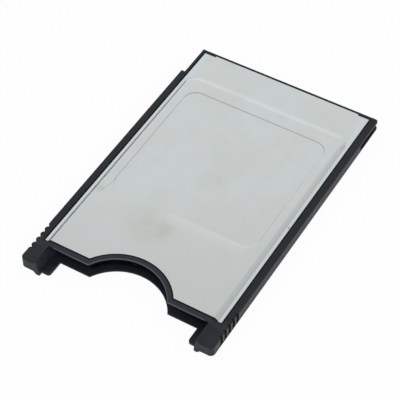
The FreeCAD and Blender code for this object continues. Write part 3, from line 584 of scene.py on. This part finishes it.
def makeCovers():
    # Drawn sheet: a raised panel with a soft roll round it, and a pressed label recess on top
    values = {"levels": (0.03, 0.06, 0.1, 0.15, 0.22, 0.3, 0.4, 0.5, 0.6, 0.7, 0.8, 0.9),
              "footBend": 0.09, "sideCrown": 2.1, "farCrown": 1.5,
              "recessDepth": 0.18, "recessRun": 0.36, "recessEdge": 0.09, "recessFold": 12,
              "recessReach": 20.9, "recessNear": -13.4, "recessFar": 27.4,
              "rim": 0.025, "rimFold": 62, "rimFrom": 30, "segments": 2}
    for name, node, outward in (("topCoverSheet", "top_cover", 1),
                                ("bottomCoverSheet", "bottom_cover", -1)):
        sheet = mergedCopy(node)
        face = thickness if outward > 0 else 0.0
        foot = edgeTop if outward > 0 else edgeBottom
        floor = face - outward * values["recessDepth"]

        def at(edge, level):
            return all(abs(vert.co.z / mm - level) < 0.01 for vert in edge.verts)

        def recessTop(edge):
            middle, along, fold = corner(edge)
            inside = values["recessNear"] < middle.y < values["recessFar"]
            inside = inside and abs(middle.x) < values["recessReach"]
            return at(edge, face) and fold > values["recessFold"] and inside

        def recessFoot(edge):
            return at(edge, floor) and corner(edge)[2] > values["recessFold"]

        def rim(edge):
            middle, along, fold = corner(edge)
            far = middle.y > values["rimFrom"]
            return at(edge, foot) and fold > values["rimFold"] and edge.is_convex and far

        counts = [rollSlope(sheet, foot, face, values),
                  slantWalls(sheet, floor, outward, values["recessRun"]),
                  roundEdges(sheet, recessTop, values["recessEdge"], values["segments"]),
                  roundEdges(sheet, recessFoot, values["recessEdge"], values["segments"]),
                  roundEdges(sheet, rim, values["rim"], values["segments"])]
        mesh = finishedMesh(name, sheet)
        pieceFrom(name, mesh, "cover_steel", node)
        print(name, "rolled and rounded:", counts, "faces:", len(mesh.polygons))


def rowStart(columns):
    # Where a row of so many places begins, left of the middle
    return -(columns - 1) / 2 * pitch


def flareHoles(sheet, face, depth, grow, columns):
    # Each square hole in the end face at this y widens over its last bit, as a lead-in
    inside = -1 if face > 0 else 1
    cutAcross(sheet, (0, face + inside * depth, 0), (0, 1, 0))
    first = rowStart(columns)
    moved = 0
    for vert in sheet.verts:
        x, y, z = vert.co / mm
        up = z - thickness / 2
        if abs(y - face) > 0.005 or abs(x) > -first + 0.5 or abs(up) > rowsReach:
            continue
        middle = first + round((x - first) / pitch) * pitch
        row = math.copysign(pitch / 2, up)
        vert.co.x += math.copysign(grow, x - middle) * mm
        vert.co.z += math.copysign(grow, up - row) * mm
        moved += 1
    sheet.normal_update()
    return moved // 4


def makeEntries(name, slot, node, face, columns, values):
    # A moulding with two rows of holes in its end face, whose outer edges are rounded
    sharpFold, segments = 62, 2
    sheet = mergedCopy(node)

    def outside(edge):
        middle, along, fold = corner(edge)
        rim = abs(middle.x) > values["sideFrom"] or abs(middle.z - thickness / 2) > rowsReach
        return fold > sharpFold and edge.is_convex and abs(middle.y - face) < 0.01 and rim

    counts = [flareHoles(sheet, face, values["leadDepth"], values["leadGrow"], columns),
              roundEdges(sheet, outside, values["rounding"], segments)]
    mesh = finishedMesh(name, sheet)
    pieceFrom(name, mesh, slot, node)
    print(name, "holes and edges:", counts, "faces:", len(mesh.polygons))


def makeSocket():
    values = {"rounding": 0.08, "leadDepth": 0.14, "leadGrow": 0.1, "sideFrom": 22}
    makeEntries("socketMoulding", "socket_plastic", "socket_body", halfLength, contactColumns,
                values)


def makeHeader():
    values = {"rounding": 0.1, "leadDepth": 0.12, "leadGrow": 0.08, "sideFrom": 16}
    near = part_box("header_body")[0][1] / mm
    makeEntries("headerMoulding", "header_plastic", "header_body", near, pinColumns, values)


def rowOfCopies():
    # Copies of one shape side by side along X. A row can leave out every so many places.
    tree = bpy.data.node_groups.new("rowOfCopies", "GeometryNodeTree")
    wanted = (("Shape", "Object"), ("Count", "Int"), ("First", "Float"), ("Spacing", "Float"),
              ("Left Out", "Int"), ("Play", "Float"), ("Seed", "Int"), ("Finish", "Material"))
    tree.interface.new_socket("Geometry", in_out="INPUT", socket_type="NodeSocketGeometry")
    for name, kind in wanted:
        tree.interface.new_socket(name, in_out="INPUT", socket_type="NodeSocket" + kind)
    tree.interface.new_socket("Geometry", in_out="OUTPUT", socket_type="NodeSocketGeometry")
    graph = Graph(tree)
    given = graph.node("NodeGroupInput")
    start = graph.node("ShaderNodeCombineXYZ", None, {"X": given.out("First")}).out()
    step = graph.node("ShaderNodeCombineXYZ", None, {"X": given.out("Spacing")}).out()
    points = graph.node("GeometryNodeMeshLine", {"mode": "OFFSET"},
                        {"Count": given.out("Count"), "Start Location": start,
                         "Offset": step}).out()
    index = graph.node("GeometryNodeInputIndex").out()
    turn = index % given.out("Left Out")
    empty = graph.node("FunctionNodeCompare", {"data_type": "FLOAT", "operation": "LESS_THAN"},
                       {0: turn, 1: 0.5}).out()
    some = graph.node("FunctionNodeCompare", {"data_type": "INT", "operation": "GREATER_THAN"},
                      {2: given.out("Left Out"), 3: 0}).out()
    both = graph.node("FunctionNodeBooleanMath", {"operation": "AND"}, {0: empty, 1: some}).out()
    kept = graph.node("GeometryNodeDeleteGeometry", {"domain": "POINT"},
                      {"Geometry": points, "Selection": both}).out()
    shape = graph.node("GeometryNodeObjectInfo", None, {"Object": given.out("Shape")})
    rows = graph.node("GeometryNodeInstanceOnPoints", None,
                      {"Points": kept, "Instance": shape.out("Geometry")}).out()
    loose = graph.node("FunctionNodeRandomValue", {"data_type": "FLOAT"},
                       {2: 0.0, 3: given.out("Play"), "Seed": given.out("Seed")}).out(1)
    slide = graph.node("ShaderNodeCombineXYZ", None, {"Y": loose}).out()
    moved = graph.node("GeometryNodeTranslateInstances", None,
                       {"Instances": rows, "Translation": slide}).out()
    real = graph.node("GeometryNodeRealizeInstances", None, {"Geometry": moved}).out()
    done = graph.node("GeometryNodeSetMaterial", None,
                      {"Geometry": real, "Material": given.out("Finish")}).out()
    graph.node("NodeGroupOutput", None, {"Geometry": done})
    return tree


copies = rowOfCopies()


def rowMesh(shape, slot, count, first, spacing, leftOut=0, play=0.0, seed=7):
    base = bpy.data.meshes.new("row")
    holder = bpy.data.objects.new("row", base)
    scene.collection.objects.link(holder)
    modifier = holder.modifiers.new("row", "NODES")
    modifier.node_group = copies
    given = {"Shape": shape, "Count": count, "First": first * mm, "Spacing": spacing * mm,
             "Left Out": leftOut, "Play": play * mm, "Seed": seed, "Finish": finishes[slot]}
    for item in copies.interface.items_tree:
        if item.in_out == "INPUT" and item.name in given:
            modifier[item.identifier] = given[item.name]
    mesh = evaluatedMesh(holder)
    holder.modifiers.remove(modifier)
    bpy.data.objects.remove(holder)
    bpy.data.meshes.remove(base)
    return mesh


def joined(name, meshes):
    sheet = bmesh.new()
    for mesh in meshes:
        sheet.from_mesh(mesh)
    ready = bpy.data.meshes.new(name)
    sheet.to_mesh(ready)
    sheet.free()
    return ready


def skin(sheet, rings):
    # Faces from each ring of four corners to the next, and one over either end
    for ring, after in zip(rings, rings[1:]):
        for side in range(4):
            nextSide = (side + 1) % 4
            sheet.faces.new((ring[side], ring[nextSide], after[nextSide], after[side]))
    sheet.faces.new(rings[0][::-1])
    sheet.faces.new(rings[-1])
    bmesh.ops.recalc_face_normals(sheet, faces=sheet.faces[:])


def stationBar(sheet, stations):
    # Square bar through (y, z, half width, half height) in mm
    rings = []
    for y, z, wide, high in stations:
        corners = ((-wide, -high), (wide, -high), (wide, high), (-wide, high))
        rings.append([sheet.verts.new((x * mm, y * mm, (z + up) * mm)) for x, up in corners])
    skin(sheet, rings)


def shapeObject(name, sheet):
    mesh = finishedMesh(name, sheet)
    shape = bpy.data.objects.new(name, mesh)
    scene.collection.objects.link(shape)
    return shape


def pinShape(name, nearEnd, tail, row):
    # Square pin with a tip tapered on all four sides
    values = {"half": 0.225, "tip": 0.4, "tipHalf": 0.1, "edges": 0.035}
    height = thickness / 2 + row * pitch / 2
    sheet = bmesh.new()
    stationBar(sheet, [(nearEnd, height, values["tipHalf"], values["tipHalf"]),
                       (nearEnd + values["tip"], height, values["half"], values["half"]),
                       (tail, height, values["half"], values["half"])])

    def long(edge):
        return abs(corner(edge)[1].y) > 0.9

    roundEdges(sheet, long, values["edges"], 2)
    return shapeObject(name, sheet)


def makePins():
    # Four groups: two signal rows, the long power pins and the short detect pins
    values = {"play": 0.03, "group": 12}
    first = rowStart(pinColumns)
    skip = values["group"]
    wide = skip * pitch
    shapes = []

    def group(name, node, rows):
        meshes = []
        for row, count, start, spacing, leftOut, seed in rows:
            low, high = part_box(node)
            shapes.append(pinShape(node, low[1] / mm, high[1] / mm - values["play"], row))
            meshes.append(rowMesh(shapes[-1], "gold_contacts", count, start, spacing, leftOut,
                                  values["play"], seed))
        pieceFrom(name, joined(name, meshes), "gold_contacts", node)

    # Row, count, first place, spacing, how many places to the next one left out, seed
    group("signalPinsUpper", "header_signal_pins_upper", [(1, pinColumns, first, pitch, skip, 3)])
    group("signalPinsLower", "header_signal_pins_lower", [(-1, pinColumns, first, pitch, skip, 4)])
    group("powerPins", "header_power_pins", [(1, 2, first, wide, 0, 5), (-1, 2, 0.0, wide, 0, 6)])
    group("detectPins", "header_detect_pins",
          [(1, 1, -first, wide, 0, 8), (-1, 1, first, wide, 0, 9)])
    for shape in shapes:
        bpy.data.objects.remove(shape)
    print("header pins placed")


def contactShape(name, node, row):
    # Fork contact: a tail, a root in the moulding and two tines that narrow and flare at the tip
    values = {"half": 0.175, "edges": 0.03, "narrow": 0.82, "tailUp": 0.5, "thin": 0.1,
              "rootAt": 2.3, "rootBend": 0.5, "rootRise": 0.4, "rootHigh": 0.42, "forkAt": 4.1,
              "forkLap": 0.2, "tineApart": 0.3, "tineHigh": 0.12, "pinch": 0.05, "pinchAt": 1.6,
              "neckApart": 0.24, "flare": 0.5, "tipApart": 0.33, "tipHigh": 0.09}
    low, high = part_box(node)
    tailEnd, tip = low[1] / mm, high[1] / mm
    height = thickness / 2 + row * pitch / 2
    tail = thickness / 2 + row * values["tailUp"]
    root, fork = tailEnd + values["rootAt"], tailEnd + values["forkAt"]
    half, thin = values["half"], values["thin"]
    slim = half * values["narrow"]
    sheet = bmesh.new()
    stationBar(sheet, [(tailEnd, tail, half, thin),
                       (root - values["rootBend"], tail, half, thin),
                       (root, height, half, thin),
                       (root + values["rootRise"], height, half, values["rootHigh"]),
                       (fork, height, half, values["rootHigh"])])
    thick, apart = values["tineHigh"], values["tineApart"]
    tine = [(fork - values["forkLap"], apart, half, thick),
            (tip - values["pinchAt"], apart - values["pinch"], slim, thick),
            (tip - values["flare"], values["neckApart"], slim, thin),
            (tip, values["tipApart"], slim, values["tipHigh"])]
    for side in (1, -1):
        stationBar(sheet, [(y, height + side * out, wide, high) for y, out, wide, high in tine])

    def long(edge):
        return abs(corner(edge)[1].x) < 0.2 and corner(edge)[2] > 60

    roundEdges(sheet, long, values["edges"], 1)
    return shapeObject(name, sheet)


def makeContacts():
    for name, node, row in (("contactsUpper", "socket_contacts_upper", 1),
                            ("contactsLower", "socket_contacts_lower", -1)):
        shape = contactShape(name + "Shape", node, row)
        mesh = rowMesh(shape, "gold_contacts", contactColumns, rowStart(contactColumns), pitch)
        pieceFrom(name, mesh, "gold_contacts", node)
        bpy.data.objects.remove(shape)
    print("socket contacts placed")


def block(sheet, low, high):
    # Plain block between two corners in mm
    for vert in bmesh.ops.create_cube(sheet, size=1.0)["verts"]:
        vert.co = [(start + (place + 0.5) * (end - start)) * mm
                   for start, end, place in zip(low, high, vert.co)]


def convexCorner(edge):
    return edge.is_convex and corner(edge)[2] > 60


def makeChips():
    # Each chip is a ceramic body between two tinned ends
    values = {"end": 0.32, "inset": 0.02, "edges": 0.05}
    chips = (("supplyCapacitorLeft", "supply_capacitor_left"),
             ("supplyCapacitorRight", "supply_capacitor_right"),
             ("pullUpResistor", "pull_up_resistor"))
    for name, node in chips:
        low, high = ([value / mm for value in end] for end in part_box(node))
        inset = values["inset"]
        sheet = bmesh.new()
        block(sheet, [value + inset for value in low], [value - inset for value in high])
        roundEdges(sheet, convexCorner, values["edges"], 2)
        pieceFrom(name, finishedMesh(name, sheet), slotOf[node], node)
        ends = bmesh.new()
        block(ends, low, (low[0] + values["end"], high[1], high[2]))
        block(ends, (high[0] - values["end"], low[1], low[2]), high)
        roundEdges(ends, convexCorner, values["edges"], 2)
        pieceFrom(name + "Ends", finishedMesh(name + "Ends", ends), "tinned_metal")
    print("chips placed")


def makeSmallParts():
    # Tabs, films and board keep their form and get soft edges
    values = {"tabs": 0.04, "board": 0.06, "films": 0.02}
    for name, node, width in (("headerTabLeft", "header_solder_tab_left", values["tabs"]),
                              ("headerTabRight", "header_solder_tab_right", values["tabs"]),
                              ("socketTabLeft", "socket_solder_tab_left", values["tabs"]),
                              ("socketTabRight", "socket_solder_tab_right", values["tabs"]),
                              ("circuitBoard", "circuit_board", values["board"]),
                              ("upperFilm", "upper_insulating_film", values["films"]),
                              ("lowerFilm", "lower_insulating_film", values["films"])):
        sheet = mergedCopy(node)
        roundEdges(sheet, convexCorner, width, 2)
        pieceFrom(name, finishedMesh(name, sheet), slotOf[node], node)
    print("tabs, board and films placed")


def makeSolder():
    # Pads on the board with solder round each tail
    values = {"padThick": 0.03, "rise": 0.16, "side": 0.2, "waist": 0.35, "waistSide": 0.45,
              "waistBack": 0.12, "topSide": 0.02, "topBack": 0.3,
              "pinHalf": 0.225, "pinFrom": 0.7, "pinOver": 0.3,
              "tailHalf": 0.175, "tailOver": 0.3, "tailTo": 1.6}
    pad, rise, side = values["padThick"], values["rise"], values["side"]
    # Height over the board, how far out at the sides and how far in at the ends
    levels = ((0.0, side, 0.0), (pad, side, 0.0),
              (pad + rise * values["waist"], side * values["waistSide"], values["waistBack"]),
              (pad + rise, values["topSide"], values["topBack"]))
    shapes = []

    def fillet(name, near, far, face, row, half):
        sheet = bmesh.new()
        rings = []
        for up, out, back in levels:
            left, right, start, end = -half - out, half + out, near + back, far - back
            places = ((left, start), (right, start), (right, end), (left, end))
            z = (face + row * up) * mm
            rings.append([sheet.verts.new((x * mm, y * mm, z)) for x, y in places])
        skin(sheet, rings)
        shapes.append(shapeObject(name, sheet))
        return shapes[-1]

    top, bottom = (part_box("circuit_board")[end][2] / mm for end in (1, 0))
    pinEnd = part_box("header_power_pins")[1][1] / mm
    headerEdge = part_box("header_body")[1][1] / mm
    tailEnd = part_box("socket_contacts_upper")[0][1] / mm
    for name, face, row in (("Upper", top, 1), ("Lower", bottom, -1)):
        pins = fillet("pinSolder", headerEdge + values["pinFrom"], pinEnd + values["pinOver"],
                      face, row, values["pinHalf"])
        tails = fillet("tailSolder", tailEnd - values["tailOver"], tailEnd + values["tailTo"],
                       face, row, values["tailHalf"])
        meshes = [rowMesh(pins, "tinned_metal", pinColumns, rowStart(pinColumns), pitch),
                  rowMesh(tails, "tinned_metal", contactColumns, rowStart(contactColumns), pitch)]
        pieceFrom("solder" + name, joined("solder" + name, meshes), "tinned_metal")
    for shape in shapes:
        bpy.data.objects.remove(shape)
    print("solder placed")


makeFrame()
makeCovers()
makeSocket()
makeHeader()
makePins()
makeContacts()
makeSmallParts()
makeChips()
makeSolder()


def makeFloor():
    # Plain pale floor, a little under the object, with a painted contact shadow that dims it in
    # gloss near it. Size in metres, contactWidth and below in mm. From below it can't be seen.
    values = {"size": 3.0, "colour": (0.85, 0.85, 0.85), "glow": 0.94, "gloss": 0.75,
              "contact": 0.35, "contactWidth": 2.4, "below": 0.02}
    floorFinish = bpy.data.materials.new("paleFloor")
    floorFinish.use_nodes = True
    graph = Graph(floorFinish.node_tree)
    lit = graph.node("ShaderNodeBsdfDiffuse", None, {"Color": values["colour"]}).out()
    glow = graph.node("ShaderNodeEmission", None, {"Color": (1, 1, 1), "Strength": 1.0}).out()
    path = graph.node("ShaderNodeLightPath")
    straight = path.out("Is Camera Ray").most(path.out("Is Transmission Ray")) * values["glow"]
    place = graph.node("ShaderNodeTexCoord").out("Object")
    split = graph.node("ShaderNodeSeparateXYZ", None, {0: place})
    away = (abs(split.out("X")) - halfWidth * mm).most(abs(split.out("Y")) - halfLength * mm)
    clearOf = away.rise(0.0, values["contactWidth"] * mm)
    bright = values["contact"] + clearOf * (1 - values["contact"])
    seen = straight.most(path.out("Is Glossy Ray") * bright * values["gloss"])
    both = graph.node("ShaderNodeMixShader", None, {0: seen, 1: lit, 2: glow}).out()
    clear = graph.node("ShaderNodeBsdfTransparent").out()
    below = graph.node("ShaderNodeNewGeometry").out("Backfacing")
    oneSided = graph.node("ShaderNodeMixShader", None, {0: below, 1: both, 2: clear}).out()
    graph.node("ShaderNodeOutputMaterial", None, {"Surface": oneSided})
    half = values["size"] / 2
    level = -values["below"] * mm
    mesh = bpy.data.meshes.new("floor")
    mesh.from_pydata([(-half, -half, level), (half, -half, level), (half, half, level),
                      (-half, half, level)], [], [(0, 1, 2, 3)])
    mesh.materials.append(floorFinish)
    floor = bpy.data.objects.new("floor", mesh)
    scene.collection.objects.link(floor)


def makeWorld():
    # White in the picture. In gloss it is brightest behind the object and dims to the front,
    # with one dark card low on the left.
    values = {"soft": 0.7, "glossMiddle": 0.62, "glossSlope": 0.38, "front": (0.6, -0.8, 0.0),
              "glossLeast": 0.5, "cardSide": (0.75, 0.81), "cardTop": (0.2, 0.3), "cardShade": 1.0}
    world = bpy.data.worlds.new("studio")
    scene.world = world
    world.use_nodes = True
    graph = Graph(world.node_tree)
    way = graph.node("ShaderNodeTexCoord").out("Generated")
    along = graph.node("ShaderNodeVectorMath", {"operation": "DOT_PRODUCT"},
                       {0: way, 1: values["front"]}).out("Value")
    white = (values["glossMiddle"] - along * values["glossSlope"]).least(1.0)
    split = graph.node("ShaderNodeSeparateXYZ", None, {0: way})
    card = (-split.out("X")).rise(*values["cardSide"]) * split.out("Z").fall(*values["cardTop"])
    white = white.most(values["glossLeast"]) * (1 - card * values["cardShade"])
    path = graph.node("ShaderNodeLightPath")
    gloss = path.out("Is Glossy Ray").most(path.out("Is Transmission Ray"))
    level = path.out("Is Camera Ray").most(gloss * white)
    rest = 1 - path.out("Is Camera Ray").most(gloss)
    strength = level + rest * values["soft"]
    sockets = {"Color": (1, 1, 1), "Strength": strength}
    glow = graph.node("ShaderNodeBackground", None, sockets).out()
    graph.node("ShaderNodeOutputWorld", None, {"Surface": glow})


# Place and size in metres, power in watts
lampValues = {
    "overheadSoftbox": ((0.25, -0.35, 0.8), (0.6, 0.6), 2.0),
    "sideSoftbox": ((0.6, -0.3, 0.35), (0.5, 0.5), 1.0),
}


def softbox(name, place, size, power):
    # Aimed at the object, and not seen in gloss
    lamp = bpy.data.lights.new(name, "AREA")
    lamp.shape = "RECTANGLE"
    lamp.size, lamp.size_y = size
    lamp.energy = power
    holder = bpy.data.objects.new(name, lamp)
    holder.location = place
    holder.rotation_euler = (-Vector(place)).to_track_quat("-Z", "Y").to_euler()
    holder.visible_glossy = False
    scene.collection.objects.link(holder)


def makeCamera():
    # Bearing and height of the view in degrees, its distance and shifts in mm, lens in mm
    view = {"bearing": 30.67, "height": 48.67, "distance": 390.2, "right": -1.535, "up": -2.462,
            "lens": 139.24}
    bearing = math.radians(view["bearing"])
    height = math.radians(view["height"])
    right = Vector((math.cos(bearing), math.sin(bearing), 0))
    back = Vector((math.sin(bearing) * math.cos(height), -math.cos(bearing) * math.cos(height),
                   math.sin(height)))
    up = back.cross(right)
    place = Vector((0, 0, thickness / 2)) + back * view["distance"]
    place = place + right * view["right"] + up * view["up"]
    camera = bpy.data.cameras.new("camera")
    camera.lens = view["lens"]
    camera.sensor_width = 36
    camera.clip_start = 0.01
    holder = bpy.data.objects.new("camera", camera)
    turned = Matrix((right, up, back)).transposed().to_4x4()
    holder.matrix_world = Matrix.Translation(place * mm) @ turned
    scene.collection.objects.link(holder)
    scene.camera = holder


makeFloor()
makeWorld()
for name, (place, size, power) in lampValues.items():
    softbox(name, place, size, power)
makeCamera()
scene.view_settings.view_transform = "Standard"
print("stage, lamps and camera ready")
